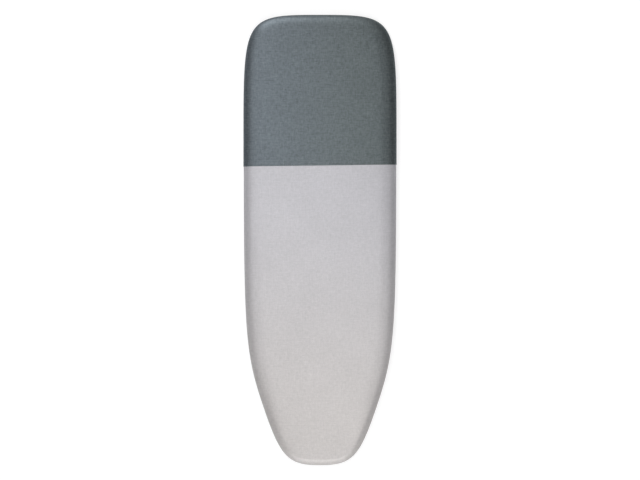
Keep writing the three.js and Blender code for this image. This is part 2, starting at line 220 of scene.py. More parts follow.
def unit(vectors):
    return vectors / np.linalg.norm(vectors, axis=-1, keepdims=True)


def run_along(path):
    """Distance along points from the first of them."""
    return np.concatenate([[0], np.cumsum(np.linalg.norm(np.diff(path, axis=0), axis=1))])


def sample(s, run, values):
    """Values at distances s along a run."""
    return np.stack([np.interp(s, run, column) for column in values.T], 1)


# Outline of the board

def bezier(points, t):
    p0, p1, p2, p3 = (np.array(p, float) for p in points)
    t = t[:, None]
    s = 1 - t
    place = s**3 * p0 + 3 * s * s * t * p1 + 3 * s * t * t * p2 + t**3 * p3
    along = 3 * s * s * (p1 - p0) + 6 * s * t * (p2 - p1) + 3 * t * t * (p3 - p2)
    return place, unit(along)


def outline():
    """Points, outward directions, distances and turning, from the nose tip up the right side and back."""
    half = BOARD_WIDTH / 2
    nose_y = BOARD_Y - BOARD_LENGTH / 2
    tail_y = BOARD_Y + BOARD_LENGTH / 2
    lean = np.array([math.sin(KNUCKLE_LEAN), math.cos(KNUCKLE_LEAN)])
    knuckle = np.array([KNUCKLE_HALF_WIDTH, nose_y + KNUCKLE_DEPTH])
    widest = (half, tail_y - TAIL_DEPTH)
    corner = (half, tail_y)
    curves = [
        ((0, nose_y), (TIP_PULL, nose_y), knuckle - NOSE_PULL * lean, knuckle),
        (knuckle, knuckle + KNUCKLE_PULL * lean, (half, widest[1] - FLANK_PULL), widest),
        (widest, corner, corner, (0, tail_y)),
    ]
    t = np.linspace(0, 1, OUTLINE_STEPS)
    parts = [bezier(c, t) for c in curves]
    place, along = (np.concatenate([p[k][:-1] for p in parts[:-1]] + [parts[-1][k]]) for k in (0, 1))
    out = np.stack([along[:, 1], -along[:, 0]], 1)
    flip = np.array([-1.0, 1.0])
    place = np.concatenate([place, place[-2::-1] * flip])
    out = np.concatenate([out, out[-2::-1] * flip])
    run = run_along(place)
    turn = np.gradient(np.unwrap(np.arctan2(out[:, 1], out[:, 0])), run + 1e-9 * np.arange(len(run)))
    return place, out, run, turn


PLACE, OUT, RUN, TURN = outline()
LOOP_LENGTH = RUN[-1]


def board(u):
    """Points, outward directions and turning of the outline at shares u of it, from the nose tip."""
    s = (np.asarray(u) % 1.0) * LOOP_LENGTH
    return sample(s, RUN, PLACE), unit(sample(s, RUN, OUT)), np.interp(s, RUN, TURN)


LOOP = np.arange(LOOP_POINTS) / LOOP_POINTS


# Profiles, as offsets out from the outline and heights

def over_edge(surface, rings):
    """From a layer's flat middle to the board's side, a quarter of an ellipse."""
    angle = np.linspace(math.pi / 2, 0, rings + 1)
    reach = CROWN_WIDTH + surface[1]
    rise = BOARD_TOP + surface[0] - SIDE_Z
    return np.stack([-CROWN_WIDTH + reach * np.cos(angle), SIDE_Z + rise * np.sin(angle)], 1)


def hem_point(along, up):
    c, s = math.cos(HEM_SLOPE), math.sin(HEM_SLOPE)
    return np.array([-HEM_INSET + along * c - up * s, HEM_Z + along * s + up * c])


def under_edge(surface):
    """From the board's side round under it and down to the hem."""
    inside = MAIN_UPPER[1] - surface[1]
    side = np.linspace([surface[1], SIDE_Z], [surface[1], ROLL_Z], SIDE_RINGS + 1)[1:]
    angle = np.linspace(0, math.pi / 2, ROLL_RINGS + 1)[1:]
    depth = ROLL_Z - UNDER_Z - inside
    reach = ROLL_WIDTH + surface[1]
    roll = np.stack([-ROLL_WIDTH + reach * np.cos(angle), ROLL_Z - depth * np.sin(angle)], 1)
    start, end = roll[-1], hem_point(CASING_INNER + LAYER_GAP, inside + LAYER_GAP / 2)
    third = np.linalg.norm(end - start) / 3
    pull = np.array([-0.8 * third, 0.0])
    draw = third * np.array([math.cos(HEM_SLOPE), math.sin(HEM_SLOPE)])
    t = np.linspace(0, 1, FLANGE_RINGS + 1)[1:]
    flange = bezier((start, start + pull, end + draw, end), t)[0]
    return np.concatenate([side, roll, flange])


# How the cloth settles

def top_wave(x, y):
    """Slow unevenness of the pad under the cloth."""
    return (
        0.10 * np.sin(x / 47 + 0.6 * np.sin(y / 130)) * np.cos(y / 61 + 0.4)
        + 0.08 * np.sin(x / 29 - y / 83 + 1.1)
        + 0.06 * np.sin(x / 17 + y / 26 + 0.5 * np.sin(y / 90))
    )


def swell(inward, y):
    """Height that the pad's softness adds, that far in from the board's edge; the nose is fuller."""
    share = np.clip(inward - SWELL_START, 0, None) / SWELL_REACH
    risen = 1 - (1 + share) * np.exp(-share)
    start, crest, end = NOSE_SHOULDER
    full = smoothstep(start, crest, inward) - smoothstep(crest, end, inward)
    near_nose = 1 - smoothstep(*NOSE_FADE, y - BOARD_Y + BOARD_LENGTH / 2)
    even = (PAD_SWELL + PAD_GIVE) * risen - PAD_GIVE * smoothstep(*SHOULDER, inward)
    return even + NOSE_FULLNESS * near_nose * full


def padded_top(points):
    """Heights that softness and unevenness add to the flat part of a layer."""
    loop = board(LOOP)[0]
    inward = np.array([np.hypot(*(loop - point).T).min() for point in points])
    return swell(inward, points[:, 1]) + top_wave(points[:, 0], points[:, 1])


def gather_wave(u):
    """Shape of the unevenly spaced gathers along the hem, between -1 and 1."""
    whole = 2 * math.pi
    slow = 0.22 * np.sin(whole * 7 * u)
    quick = 0.13 * np.sin(whole * 19 * u + 1)
    phase = whole * (GATHER_COUNT * u + slow + quick)
    return 0.8 * np.sin(phase) + 0.2 * np.sin(2 * phase + 0.7)


def gather_size(u):
    """Depth of the gathers: most at the corners, and none at the mouth of the casing."""
    place = board(u)[0]
    near = np.mean([board(u + CORNER_REACH * k)[2] for k in range(-3, 4)], axis=0)
    corner = np.clip(near * CORNER_GAIN, 0, 1)
    away = smoothstep(*MOUTH_CALM, np.abs(place[:, 0]) + 2 * np.clip(HEM_Y - place[:, 1], 0, None))
    uneven = 0.75 + 0.25 * np.sin(2 * math.pi * 23 * u + 0.8)
    return away * uneven * (GATHER_FLAT + GATHER_CORNER * corner)


def hem_lift(u):
    """How far the gathers lift the hem itself."""
    return GATHER_HEM_SHARE * gather_size(u) * (1 + gather_wave(u)) / 2


def rings(profile, u, settle=True):
    """Points of a swept profile, one ring a row, settled as cloth over the pad and gathered below it."""
    place, out = board(u)[:2]
    d, z = profile[:, 0][:, None], profile[:, 1][:, None]
    x = place[:, 0] + d * out[:, 0]
    y = place[:, 1] + d * out[:, 1]
    z = z + np.zeros_like(x)
    if settle:
        flat = smoothstep(SIDE_Z, BOARD_TOP, z)
        z = z + flat * top_wave(x, y) + (z > SIDE_Z) * swell(-d, y)
        under = smoothstep(ROLL_Z, UNDER_Z - 1, z)
        share = smoothstep(*GATHER_START, d) * under
        held = smoothstep(*HEM_HOLD, d) * under
        size, wave = gather_size(u), gather_wave(u)
        z = z + share * (1 - held) * size * wave + held * hem_lift(u)
    return np.stack([x, y, z], 2)


def flat_places(profile, u):
    """Where the cloth of each ring lay before it was drawn round the edge."""
    place, out = board(u)[:2]
    d = profile[0, 0] + run_along(profile)[:, None]
    return np.stack([place[:, 0] + d * out[:, 0], place[:, 1] + d * out[:, 1]], 2)


# Meshes

def grid_faces(rows, columns, closed=True):
    """Quads between rows of points, each row closed on itself or open."""
    k, j = np.meshgrid(np.arange(rows - 1), np.arange(columns if closed else columns - 1), indexing="ij")
    n = (j + 1) % columns
    quads = np.stack([k * columns + j, (k + 1) * columns + j, (k + 1) * columns + n, k * columns + n], -1)
    return quads.reshape(-1, 4).tolist()


def cap_mesh(ring, grid=CAP_GRID):
    """Points and triangles, facing up, that fill a flat ring; the ring's own points come first."""
    loop = ring[:, :2]
    xs = np.arange(-CAP_HALF_WIDTH, CAP_HALF_WIDTH + 1, grid) + grid / 2
    ys = np.arange(-CAP_HALF_LENGTH, CAP_HALF_LENGTH + 1, grid)
    gx, gy = np.meshgrid(xs, ys)
    inner = np.stack([gx.ravel(), gy.ravel()], 1)
    crossing = np.zeros(len(inner), bool)
    near = np.full(len(inner), 1e9)
    for a, b in zip(loop, np.roll(loop, -1, 0)):
        above = (a[1] > inner[:, 1]) != (b[1] > inner[:, 1])
        at = a[0] + (inner[:, 1] - a[1]) * (b[0] - a[0]) / (b[1] - a[1] if b[1] != a[1] else 1e-9)
        crossing ^= above & (inner[:, 0] < at)
        near = np.minimum(near, np.hypot(*(inner - a).T))
    inner = inner[crossing & (near > 0.7 * grid)]
    points = [Vector(p) for p in np.concatenate([loop, inner])]
    edges = [(i, (i + 1) % len(loop)) for i in range(len(loop))]
    made, _, faces = delaunay_2d_cdt(points, edges, [], 1, 1e-6)[:3]
    made = np.array([(p.x, p.y) for p in made])
    upward = []
    for f in faces:
        a, b, c = made[list(f[:3])]
        area = (b[0] - a[0]) * (c[1] - a[1]) - (b[1] - a[1]) * (c[0] - a[0])
        upward.append(list(f) if area > 0 else list(reversed(f)))
    return made, upward


def placed(name, data):
    made = bpy.data.objects.new(name, data)
    bpy.context.scene.collection.objects.link(made)
    return made


def face_outward(work):
    bmesh.ops.recalc_face_normals(work, faces=work.faces[:])


def new_object(name, points, faces, smooth=True, flat=None):
    """Mesh object from points in millimetres; flat gives the cloth's own coordinates for each point."""
    mesh = bpy.data.meshes.new(name)
    mesh.from_pydata((np.asarray(points, float) * METRES).tolist(), [], faces)
    if flat is not None:
        layer = mesh.uv_layers.new(name="flat")
        corner = np.zeros(len(mesh.loops), np.int32)
        mesh.loops.foreach_get("vertex_index", corner)
        layer.data.foreach_set("uv", (np.asarray(flat)[corner] * METRES).astype(np.float32).ravel())
    mesh.validate()
    if smooth:
        mesh.shade_smooth()
    return placed(name, mesh)


def edit(piece, change):
    """Changes a piece's mesh by a function of its bmesh."""
    work = bmesh.new()
    work.from_mesh(piece.data)
    change(work)
    work.to_mesh(piece.data)
    work.free()
    piece.data.update()


def bake_modifiers(piece):
    graph = bpy.context.evaluated_depsgraph_get()
    made = bpy.data.meshes.new_from_object(piece.evaluated_get(graph))
    piece.modifiers.clear()
    piece.data = made


def cut(work, shift, drop=0):
    """Cuts along a line parallel to the seam; drop is 1 to delete the tail side, -1 the nose side."""
    bmesh.ops.bisect_plane(
        work,
        geom=work.verts[:] + work.edges[:] + work.faces[:],
        dist=CUT_TOLERANCE,
        plane_co=Vector(TAILWARD * (SEAM_LINE + shift) * METRES),
        plane_no=Vector(TAILWARD),
        clear_outer=drop == 1,
        clear_inner=drop == -1,
    )


def from_seam(co):
    """Distance from the seam towards the tail, in millimetres."""
    return MILLIMETRES * (co[0] * TAILWARD[0] + co[1] * TAILWARD[1]) - SEAM_LINE


def cloth_surface(name, layer):
    """Outer surface of a cloth over the whole board, not yet cut at the seam."""
    surface = MAIN_UPPER + layer
    profile = np.concatenate([over_edge(surface, CROWN_RINGS), under_edge(surface)])
    ring = rings(profile, LOOP)
    flat = flat_places(profile, LOOP)
    cap, cap_faces = cap_mesh(ring[0])
    cap_z = BOARD_TOP + surface[0] + padded_top(cap)
    points = np.concatenate([np.column_stack([cap, cap_z]), ring[1:].reshape(-1, 3)])
    flats = np.concatenate([cap, flat[1:].reshape(-1, 2)])
    quads = np.array(grid_faces(len(profile), LOOP_POINTS))
    quads[quads >= LOOP_POINTS] += len(cap) - LOOP_POINTS
    return new_object(name, points, cap_faces + quads.tolist(), flat=flats)


def shell(name, outside, inside, soft=True):
    """Closed body between two profiles that end at the same edge; the top of a soft one swells."""
    outer = rings(outside, LOOP, soft)
    inner = rings(inside, LOOP, False)
    top, top_faces = cap_mesh(outer[0], 2 * CAP_GRID)
    low, low_faces = cap_mesh(inner[0], 2 * CAP_GRID)
    top_z = outside[0, 1] + (padded_top(top) if soft else np.zeros(len(top)))
    low_z = np.full(len(low), inside[0, 1])
    walls = np.concatenate([outer[1:], inner[:0:-1]]).reshape(-1, 3)
    points = np.concatenate([np.column_stack([top, top_z]), walls, np.column_stack([low, low_z])])
    last = len(top) + len(walls)
    row_starts = np.concatenate([[0], np.arange(len(top), last + 1, LOOP_POINTS)])
    quads = np.array(grid_faces(len(row_starts), LOOP_POINTS))
    quads = row_starts[quads // LOOP_POINTS] + quads % LOOP_POINTS
    faces = top_faces + quads.tolist() + [[last + i for i in reversed(f)] for f in low_faces]
    return new_object(name, points, faces)


def across(path):
    """Two directions square to a path at each of its points, with the least turning."""
    along = unit(np.gradient(path, axis=0))
    side = np.zeros_like(path)
    side[0] = unit(np.cross(along[0], [0.31, 0.17, 0.93]))
    for k in range(1, len(path)):
        side[k] = unit(side[k - 1] - along[k] * (side[k - 1] @ along[k]))
    return side, np.cross(along, side)


def swept(path, first, second, sides):
    """Points and faces of a tube along points, whose section has these two half axes, with flat ends."""
    angle = np.arange(sides) * 2 * math.pi / sides
    points = (
        path[:, None]
        + np.cos(angle)[None, :, None] * first[:, None]
        + np.sin(angle)[None, :, None] * second[:, None]
    )
    faces = [list(reversed(f)) for f in grid_faces(len(path), sides)]
    last = (len(path) - 1) * sides
    faces += [list(range(sides))[::-1], list(range(last, last + sides))]
    return points.reshape(-1, 3), faces


def tube(path, radius, sides):
    side, other = across(path)
    return swept(path, radius * side, radius * other, sides)


def braid(path, radius):
    """Core of a cord and the two sets of flat strands that wind over and under each other round it."""
    run = run_along(path)
    s = np.linspace(0, run[-1], int(36 * run[-1] / BRAID_PITCH))
    line = sample(s, run, path)
    side, other = across(line)
    parts = [tube(line, BRAID_CORE * radius, 10)]
    for way in (1, -1):
        for k in range(BRAID_STRANDS):
            turn = 2 * math.pi * (way * s / BRAID_PITCH + k / BRAID_STRANDS)
            outward = np.cos(turn)[:, None] * side + np.sin(turn)[:, None] * other
            over = way * np.cos(2 * math.pi * BRAID_STRANDS * s / BRAID_PITCH)
            strand = line + outward * (radius * (BRAID_MIDDLE + BRAID_WEAVE * over))[:, None]
            flat = unit(np.cross(np.gradient(strand, axis=0), outward))
            thick, wide = STRAND_HALF_THICKNESS * radius * outward, STRAND_HALF_WIDTH * radius * flat
            parts.append(swept(strand, thick, wide, THREAD_SIDES))
    return gather_meshes(parts)


def rounded(profile, radius, steps=4):
    """Profile with each of its inner corners rounded off."""
    profile = np.asarray(profile, float)
    made = [profile[0]]
    for before, corner, after in zip(profile, profile[1:], profile[2:]):
        back, ahead = before - corner, after - corner
        reach = min(radius, 0.45 * np.linalg.norm(back), 0.45 * np.linalg.norm(ahead))
        start, end = corner + reach * unit(back), corner + reach * unit(ahead)
        for t in np.linspace(0, 1, steps + 1):
            made.append((1 - t) ** 2 * start + 2 * t * (1 - t) * corner + t * t * end)
    return np.array(made + [profile[-1]])


def turned(name, profile, place, axis):
    """Solid turned about an axis, from a profile of radii and places that starts and ends on the axis."""
    sides = TURNED_SIDES
    angle = np.arange(sides) * 2 * math.pi / sides
    ring = profile[1:-1]
    along = np.repeat(ring[:, 1], sides)
    first = np.outer(ring[:, 0], np.cos(angle)).ravel()
    second = np.outer(ring[:, 0], np.sin(angle)).ravel()
    ends = np.array([[0, 0, profile[0, 1]], [0, 0, profile[-1, 1]]])
    points = np.concatenate([np.stack([first, second, along], 1), ends])
    order = {"X": [2, 0, 1], "Y": [1, 2, 0]}[axis]
    faces = grid_faces(len(ring), sides)
    low, high, last = len(points) - 2, len(points) - 1, (len(ring) - 1) * sides
    for j in range(sides):
        n = (j + 1) % sides
        faces.append([low, j, n])
        faces.append([high, last + n, last + j])
    piece = new_object(name, points[:, order] + place, faces)
    edit(piece, face_outward)
    return piece


def pierce(piece, place, wide, deep, edge):
    """Cuts a hole along Y with round corners, within limits across and along it, and breaks its edges."""
    half_width = (wide[1] - wide[0]) / 2
    middle = [place[0] + (wide[0] + wide[1]) / 2, place[1], place[2]]
    points = []
    for k, (sx, sz) in enumerate(((1, 1), (-1, 1), (-1, -1), (1, -1))):
        for a in np.linspace(0, math.pi / 2, CORNER_STEPS) + k * math.pi / 2:
            x = sx * (half_width - SLOT_CORNER) + SLOT_CORNER * math.cos(a)
            z = sz * (SLOT_HALF_HEIGHT - SLOT_CORNER) + SLOT_CORNER * math.sin(a)
            points.append([x, 0.0, z])
    ring = np.array(points)
    count = len(ring)
    both = np.concatenate([ring + [0, y, 0] for y in deep]) + middle
    faces = [list(range(count)), list(range(count, 2 * count))[::-1]]
    faces += [[k, count + k, count + (k + 1) % count, (k + 1) % count] for k in range(count)]
    cutter = new_object("cutter", both, faces, smooth=False)
    edit(cutter, face_outward)
    hole = piece.modifiers.new("hole", "BOOLEAN")
    hole.object = cutter
    hole.operation = "DIFFERENCE"
    hole.solver = "EXACT"
    soften = piece.modifiers.new("soften", "BEVEL")
    soften.width = edge * METRES
    soften.segments = 2
    soften.limit_method = "ANGLE"
    soften.angle_limit = math.radians(50)
    soften.harden_normals = True
    bake_modifiers(piece)
    bpy.data.objects.remove(cutter)


def gather_meshes(parts):
    """Joins lists of points and faces into one."""
    points, faces, start = [], [], 0
    for p, f in parts:
        points.append(p)
        faces += [[i + start for i in face] for face in f]
        start += len(p)
    return np.concatenate(points), faces


def stitches(name, path, up, length, gap, radius):
    """Row of sewn stitches along points: short threads that dip into the cloth at both ends."""
    run = run_along(path)
    starts = np.arange(gap, run[-1] - length - gap, length + gap)
    height = STITCH_HEIGHT * radius
    parts = []
    for s in starts:
        at = s + STITCH_SHAPE * length
        lift = unit(sample(at, run, up)) * height[:, None]
        parts.append(tube(sample(at, run, path) + lift, radius, THREAD_SIDES))
    return new_object(name, *gather_meshes(parts))


# Materials

def material(name, build):
    """Material whose shader has the inputs that a function of its node tree returns."""
    made = bpy.data.materials.new(name)
    made.use_nodes = True
    tree = made.node_tree
    tree.nodes.clear()
    shader = put(tree, "ShaderNodeBsdfPrincipled", build(tree))
    put(tree, "ShaderNodeOutputMaterial", {"Surface": shader})
    return made


def put(tree, kind, inputs=(), **settings):
    """New node with its settings, and its inputs from constants or from other nodes' outputs."""
    made = tree.nodes.new(kind)
    for key, value in settings.items():
        setattr(made, key, value)
    for key, value in dict(inputs).items():
        if isinstance(value, bpy.types.Node):
            value = value.outputs[0]
        if isinstance(value, bpy.types.NodeSocket):
            tree.links.new(value, made.inputs[key])
        else:
            made.inputs[key].default_value = value
    return made


def sums(tree, operation, *values):
    return put(tree, "ShaderNodeMath", enumerate(values), operation=operation)


def spread(tree, value, low, high, to_low=0.0, to_high=1.0, smooth=False):
    inputs = {"Value": value, "From Min": low, "From Max": high, "To Min": to_low, "To Max": to_high}
    kind = "SMOOTHSTEP" if smooth else "LINEAR"
    return put(tree, "ShaderNodeMapRange", inputs, interpolation_type=kind)


def blend_colours(tree, factor, first, second, kind="MIX"):
    inputs = {0: factor, 6: first, 7: second}
    return put(tree, "ShaderNodeMix", inputs, data_type="RGBA", blend_type=kind).outputs[2]


def cloth_coordinates(tree):
    return put(tree, "ShaderNodeUVMap", uv_map="flat").outputs[0]


def object_coordinates(tree):
    return put(tree, "ShaderNodeTexCoord").outputs["Object"]


def noise(tree, coordinates, scale, detail=2.0, rough=0.5):
    """Noise at one scale, or at a scale for each direction."""
    if isinstance(scale, tuple):
        coordinates = put(tree, "ShaderNodeMapping", {"Vector": coordinates, "Scale": scale})
        scale = 1.0
    inputs = {"Vector": coordinates, "Scale": scale, "Detail": detail, "Roughness": rough}
    return put(tree, "ShaderNodeTexNoise", inputs).outputs[0]


def both_ways(tree, coordinates, coarse, fine):
    """Sum of two noises, one drawn out along the weft and one along the warp."""
    weft = noise(tree, coordinates, (coarse, fine, 1))
    warp = noise(tree, coordinates, (fine, coarse, 1))
    return sums(tree, "ADD", weft, warp)


def weave(tree, coordinates, pitch, twill=0.0):
    """Height of a woven surface of that thread pitch, in metres, between 0 and 1."""
    split = put(tree, "ShaderNodeSeparateXYZ", {0: coordinates})
    u = sums(tree, "MULTIPLY", split.outputs[0], math.pi / pitch)
    v = sums(tree, "MULTIPLY", split.outputs[1], math.pi / pitch)
    if twill:
        v = sums(tree, "ADD", v, sums(tree, "MULTIPLY", u, twill))
    product = sums(tree, "MULTIPLY", sums(tree, "SINE", u), sums(tree, "SINE", v))
    return sums(tree, "MULTIPLY_ADD", product, 0.5, 0.5).outputs[0]


def bump(tree, height, strength, distance):
    inputs = {"Height": height, "Strength": strength, "Distance": distance}
    return put(tree, "ShaderNodeBump", inputs).outputs[0]


def coated_cloth(pale, deep, lean, pitch, metallic, specular, speckle, mottle):
    """Woven cloth with a thin metallic coat; lean is the way and the span in which its colour goes from
    pale to deep: a warmer tone towards the nose on the silver cloth, and painted light across the dark
    cloth, lighter and bluer at its left where the light falls from.
    """

    def build(tree):
        uv = cloth_coordinates(tree)
        slub = both_ways(tree, uv, 70, 900)
        fleck = noise(tree, uv, 260.0, 3.0, 0.6)
        slow = noise(tree, uv, 9.0, 3.0, 0.55)
        uneven = both_ways(tree, uv, 24, 240)
        hatched = both_ways(tree, uv, 90, 270)
        threads = weave(tree, uv, pitch)
        way, start, end = lean
        along = put(tree, "ShaderNodeSeparateXYZ", {0: uv}).outputs[way]
        # Colour from pale to deep along lean; on the dark cloth this is painted light, lighter and bluer
        # at its left as if lit from there, and darker at its right.
        tone = blend_colours(tree, spread(tree, along, start, end, smooth=True), pale, deep)
        level = spread(tree, slub, 0.6, 1.4, 1 - speckle, 1 + speckle)
        for pattern, low, high, depth in (
            (fleck, 0.3, 0.7, speckle),
            (slow, 0.3, 0.7, 0.025),
            (uneven, 0.7, 1.3, speckle),
            (hatched, 0.7, 1.3, mottle),
            (threads, 0, 1, 0.06),
        ):
            level = sums(tree, "ADD", level, spread(tree, pattern, low, high, -depth, depth))
        grey = put(tree, "ShaderNodeCombineXYZ", {0: level, 1: level, 2: level})
        colour = blend_colours(tree, 1.0, tone, grey.outputs[0], "MULTIPLY")
        relief = sums(tree, "MULTIPLY_ADD", slub, 0.5, threads)
        return {
            "Base Color": colour,
            "Metallic": metallic,
            "Roughness": spread(tree, fleck, 0.3, 0.7, 0.46, 0.54),
            "Specular IOR Level": specular,
            "Specular Tint": (0.15, 0.15, 0.15, 1),
            "Normal": bump(tree, relief, 0.35, 0.00012),
        }

    return build


SILVER = material(
    "metallised_cloth",
    coated_cloth(
        pale=(0.475, 0.469, 0.494, 1),
        deep=(0.502, 0.480, 0.472, 1),
        lean=(1, 0.22, -0.6),
        pitch=0.0006,
        metallic=0.45,
        specular=0.3,
        speckle=0.03,
        mottle=0.065,
    ),
)
DARK = material(
    "dark_cloth",
    coated_cloth(
        # Painted light: the pale colour at the left and the deep one at the right make the dark cloth
        # lighter and bluer on the side the light comes from.
        pale=(0.131, 0.151, 0.168, 1),
        deep=(0.121, 0.140, 0.145, 1),
        lean=(0, -0.2, 0.16),
        pitch=0.0007,
        metallic=0.84,
        specular=0.2,
        speckle=0.07,
        mottle=0.19,
    ),
)


def fibrous(light, dark, relief):
    """Needled felt: short fibres lying in all directions."""

    def build(tree):
        place = object_coordinates(tree)
        warp = noise(tree, place, 90.0, 2.0)
        spin = spread(tree, warp, 0.0, 1.0, -0.006, 0.006)
        shift = put(tree, "ShaderNodeCombineXYZ", {0: spin, 1: spin, 2: spin})
        bent = put(tree, "ShaderNodeVectorMath", {0: place, 1: shift}, operation="ADD")
        across = noise(tree, bent.outputs[0], (1900, 240, 500), 3.0, 0.6)
        along = noise(tree, bent.outputs[0], (240, 1900, 500), 3.0, 0.6)
        fibres = sums(tree, "MAXIMUM", across, along)
        clumps = noise(tree, place, 70.0, 4.0, 0.6)
        share = spread(tree, fibres, 0.4, 0.75)
        share = sums(tree, "MULTIPLY", share, spread(tree, clumps, 0.2, 0.8, 0.6, 1.1))
        return {
            "Base Color": blend_colours(tree, share, dark, light),
            "Roughness": 0.95,
            "Normal": bump(tree, fibres, relief, 0.0006),
            "Sheen Weight": 0.3,
            "Sheen Roughness": 0.6,
        }

    return build


PALE_FELT = material("pale_felt", fibrous((0.80, 0.77, 0.71, 1), (0.60, 0.57, 0.51, 1), 0.5))
GREY_FELT = material("grey_felt", fibrous((0.33, 0.33, 0.32, 1), (0.17, 0.17, 0.165, 1), 0.6))


def cellular(tree):
    """Open-cell foam, its pores painted darker as shade inside the cells."""
    place = object_coordinates(tree)
    cells = put(tree, "ShaderNodeTexVoronoi", {"Vector": place, "Scale": 900.0})
    pores = spread(tree, cells.outputs["Distance"], 0.1, 0.6, 1.0, 0.0)
    cloud = noise(tree, place, 25.0, 3.0)
    tone = blend_colours(tree, cloud, (0.70, 0.66, 0.54, 1), (0.63, 0.58, 0.44, 1))
    # Painted shade: the foam's colour goes towards a deep brown in its pores, where shade falls in the
    # open cells.
    depth = spread(tree, pores, 0.0, 1.0, 0.0, 0.35)
    return {
        "Base Color": blend_colours(tree, depth, tone, (0.30, 0.27, 0.19, 1)),
        "Roughness": 0.95,
        "Normal": bump(tree, pores, 0.5, -0.0005),
    }


FOAM = material("foam", cellular)


def taped(tree):
    """Narrow twill tape."""
    uv = cloth_coordinates(tree)
    ribs = weave(tree, uv, 0.0008, 1.0)
    wear = spread(tree, noise(tree, uv, 120.0, 3.0), 0.35, 0.75, 0.0, 0.3)
    height = spread(tree, ribs, 0, 1)
    tone = blend_colours(tree, height, (0.085, 0.097, 0.106, 1), (0.135, 0.152, 0.163, 1))
    return {
        "Base Color": blend_colours(tree, wear, tone, (0.19, 0.205, 0.215, 1)),
        "Roughness": 0.85,
        "Normal": bump(tree, ribs, 0.5, 0.00025),
        "Sheen Weight": 0.2,
        "Sheen Roughness": 0.5,
    }


TAPE = material("tape", taped)


def braided(tree):
    """Textile cover of an elastic cord."""
    place = object_coordinates(tree)
    fibres = noise(tree, place, (2600, 1400, 2600), 3.0)
    dust = spread(tree, noise(tree, place, 140.0, 3.0), 0.55, 0.8, 0.0, 0.25)
    light = spread(tree, fibres, 0.3, 0.7)
    tone = blend_colours(tree, light, (0.66, 0.655, 0.63, 1), (0.83, 0.83, 0.81, 1))
    return {
        "Base Color": blend_colours(tree, dust, tone, (0.52, 0.51, 0.48, 1)),
        "Roughness": 0.85,
        "Normal": bump(tree, fibres, 0.4, 0.0001),
        "Sheen Weight": 0.25,
        "Sheen Roughness": 0.4,
    }


ELASTIC = material("elastic_cord", braided)


def threaded(tree):
    """Dark sewing thread."""
    ply = noise(tree, object_coordinates(tree), (3000, 3000, 3000))
    light = spread(tree, ply, 0.3, 0.7)
    return {
        "Base Color": blend_colours(tree, light, (0.10, 0.115, 0.12, 1), (0.17, 0.19, 0.20, 1)),
        "Roughness": 0.6,
        "Normal": bump(tree, ply, 0.4, 0.00008),
        "Sheen Weight": 0.2,
        "Sheen Roughness": 0.4,
    }


DARK_THREAD = material("dark_thread", threaded)


def moulded(tree):
    """Moulded black plastic with a fine spark-eroded grain."""
    place = object_coordinates(tree)
    grain = noise(tree, place, 2600.0, 3.0, 0.6)
    rubbed = noise(tree, place, 180.0, 4.0, 0.6)
    light = spread(tree, rubbed, 0.45, 0.75)
    return {
        "Base Color": blend_colours(tree, light, (0.011, 0.012, 0.013, 1), (0.022, 0.023, 0.024, 1)),
        "Roughness": spread(tree, rubbed, 0.3, 0.7, 0.38, 0.5),
        "Normal": bump(tree, grain, 0.25, 0.00006),
        "Specular IOR Level": 0.45,
    }


PLASTIC = material("black_plastic", moulded)


def drawn_wire(tree):
    """Spring steel, with fine lines along the wire."""
    lines = noise(tree, object_coordinates(tree), (6000, 900, 900))
    return {
        "Base Color": blend_colours(tree, lines, (0.36, 0.38, 0.40, 1), (0.46, 0.48, 0.50, 1)),
        "Metallic": 1.0,
        "Roughness": spread(tree, lines, 0.3, 0.7, 0.26, 0.4),
    }


STEEL = material("spring_steel", drawn_wire)


def dress(piece, look, replaced=(), body="cover"):
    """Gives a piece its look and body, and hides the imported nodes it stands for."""
    piece.data.materials.clear()
    piece.data.materials.append(look)
    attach(piece, body)
    if replaced:
        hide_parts(*replaced)
    return piece


def thicken(piece):
    made = piece.modifiers.new("thickness", "SOLIDIFY")
    made.thickness = SEWN_CLOTH * METRES
    made.offset = -1
    bake_modifiers(piece)


# Main panel

main = cloth_surface("main_cloth", 0.0)


def trim_main(work):
    cut(work, SEAM_LAP, 1)
    for shift in MAIN_CUTS:
        cut(work, shift)
    bmesh.ops.dissolve_degenerate(work, dist=MERGE_DISTANCE, edges=work.edges[:])


edit(main, trim_main)
thicken(main)
dress(main, SILVER, ["main_panel"])

# Dark panel, its edge folded under along the seam

seam_rows = {}
parking = cloth_surface("parking_cloth", LAYER_STEP)


def across_board(v):
    """Order of points on a line across the cover: up its left side, over the top and down the right."""
    angle = math.atan2(v.co.z - ROLL_Z * METRES, v.co.x)
    return -angle - (2 * math.pi if angle < -math.pi / 2 else 0)


